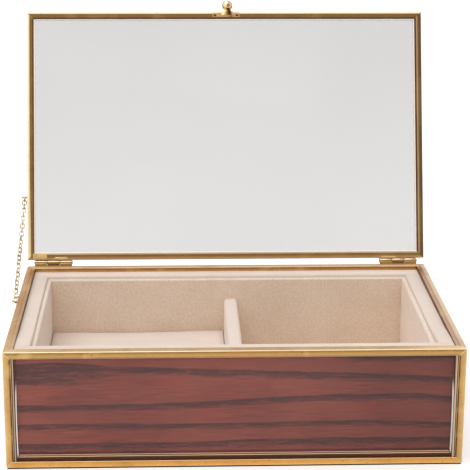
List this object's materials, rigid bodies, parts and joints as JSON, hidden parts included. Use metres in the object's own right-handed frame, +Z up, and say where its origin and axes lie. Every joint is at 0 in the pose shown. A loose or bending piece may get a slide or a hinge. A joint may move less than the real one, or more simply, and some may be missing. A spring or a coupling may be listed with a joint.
{
  "type": "glass casket box",
  "caption": "Brass-framed glass casket box with wood veneer behind glazed walls, a hinged clear glass lid stayed by a cable chain, and a divided velvet tray.",
  "frame": {"origin": "middle of the felt underside, on the plane that the box stands on", "axes": "+X to the right along the front, +Y from the front to the hinged back, +Z up; the lid is open on its taut chain at rest"},
  "size_m": [0.2535, 0.2124, 0.2268],
  "materials": {
    "brass_frame": "bright, lightly toned",
    "brass_hinge": "bright",
    "brass_knob": "polished",
    "brass_chain": "pale, bright",
    "wall_glass": "clear",
    "lid_glass": "clear",
    "wood_veneer": "stained red-brown, dark grain",
    "base_board": "fibreboard",
    "base_felt": "dark felt",
    "lining_velvet": "cream velvet over board",
    "tray_velvet": "cream velvet over board",
    "pad_velvet": "cream velvet over foam"
  },
  "bodies": {
    "box": {"rim_front": "brass_frame", "rim_back": "brass_frame", "rim_left": "brass_frame", "rim_right": "brass_frame", "sill_front": "brass_frame", "sill_back": "brass_frame", "sill_left": "brass_frame", "sill_right": "brass_frame", "post_front_left": "brass_frame", "post_front_right": "brass_frame", "post_back_left": "brass_frame", "post_back_right": "brass_frame", "glass_front": "wall_glass", "glass_back": "wall_glass", "glass_left": "wall_glass", "glass_right": "wall_glass", "veneer_front": "wood_veneer", "veneer_back": "wood_veneer", "veneer_left": "wood_veneer", "veneer_right": "wood_veneer", "base_board": "base_board", "base_felt": "base_felt", "lining_front": "lining_velvet", "lining_back": "lining_velvet", "lining_left": "lining_velvet", "lining_right": "lining_velvet", "tray_front": "tray_velvet", "tray_back": "tray_velvet", "tray_left": "tray_velvet", "tray_right": "tray_velvet", "tray_floor": "tray_velvet", "tray_divider": "tray_velvet", "tray_pad": "pad_velvet", "hinge_left_body_leaf": "brass_hinge", "hinge_left_pin": "brass_hinge", "hinge_right_body_leaf": "brass_hinge", "hinge_right_pin": "brass_hinge", "chain_stud_lower": "brass_chain"},
    "lid": {"lid_rail_front": "brass_frame", "lid_rail_back": "brass_frame", "lid_rail_left": "brass_frame", "lid_rail_right": "brass_frame", "lid_glass": "lid_glass", "hinge_left_lid_leaf": "brass_hinge", "hinge_right_lid_leaf": "brass_hinge", "lid_knob": "brass_knob", "knob_saddle": "brass_knob", "knob_rivets": "brass_knob", "chain_stud_upper": "brass_chain"},
    "chain_lower_run": {"chain_lower_run": "brass_chain"},
    "chain_lower_bend": {"chain_lower_bend": "brass_chain"},
    "chain_middle_bend": {"chain_middle_bend": "brass_chain"},
    "chain_middle_run": {"chain_middle_run": "brass_chain"},
    "chain_upper_run": {"chain_upper_run": "brass_chain"}
  },
  "joints": [
    {"name": "lid_hinge", "type": "hinge", "parent": "box", "child": "lid", "pos_m": [0, 0.07995, 0.0692], "axis": [-1, 0, 0], "range_deg": [-107.8, 0]},
    {"name": "chain_lower_swing", "type": "hinge", "parent": "box", "child": "chain_lower_run", "pos_m": [-0.1267, 0.014, 0.0657], "axis": [-1, 0, 0], "range_deg": [0, 112.4]},
    {"name": "chain_lower_fold", "type": "hinge", "parent": "chain_lower_run", "child": "chain_lower_bend", "pos_m": [-0.1267, 0.04463, 0.08192], "axis": [-1, 0, 0], "range_deg": [-52.88, 0]},
    {"name": "chain_middle_fold", "type": "hinge", "parent": "chain_lower_bend", "child": "chain_middle_bend", "pos_m": [-0.1267, 0.05084, 0.08521], "axis": [-1, 0, 0], "range_deg": [-52.88, 0]},
    {"name": "chain_upper_fold", "type": "hinge", "parent": "chain_middle_bend", "child": "chain_middle_run", "pos_m": [-0.1267, 0.05704, 0.08849], "axis": [-1, 0, 0], "range_deg": [-52.88, 0]},
    {"name": "chain_lid_swing", "type": "hinge", "parent": "lid", "child": "chain_upper_run", "pos_m": [-0.1267, 0.09388, 0.108], "axis": [-1, 0, 0], "range_deg": [0, 51.07]}
  ],
  "couplings": [
    {"joint": "chain_lower_swing", "follows": "lid_hinge", "ratio": -1.0381},
    {"joint": "chain_lower_fold", "follows": "lid_hinge", "ratio": 0.48588},
    {"joint": "chain_middle_fold", "follows": "lid_hinge", "ratio": 0.48588},
    {"joint": "chain_upper_fold", "follows": "lid_hinge", "ratio": 0.48588},
    {"joint": "chain_lid_swing", "follows": "lid_hinge", "ratio": -0.4691}
  ]
}
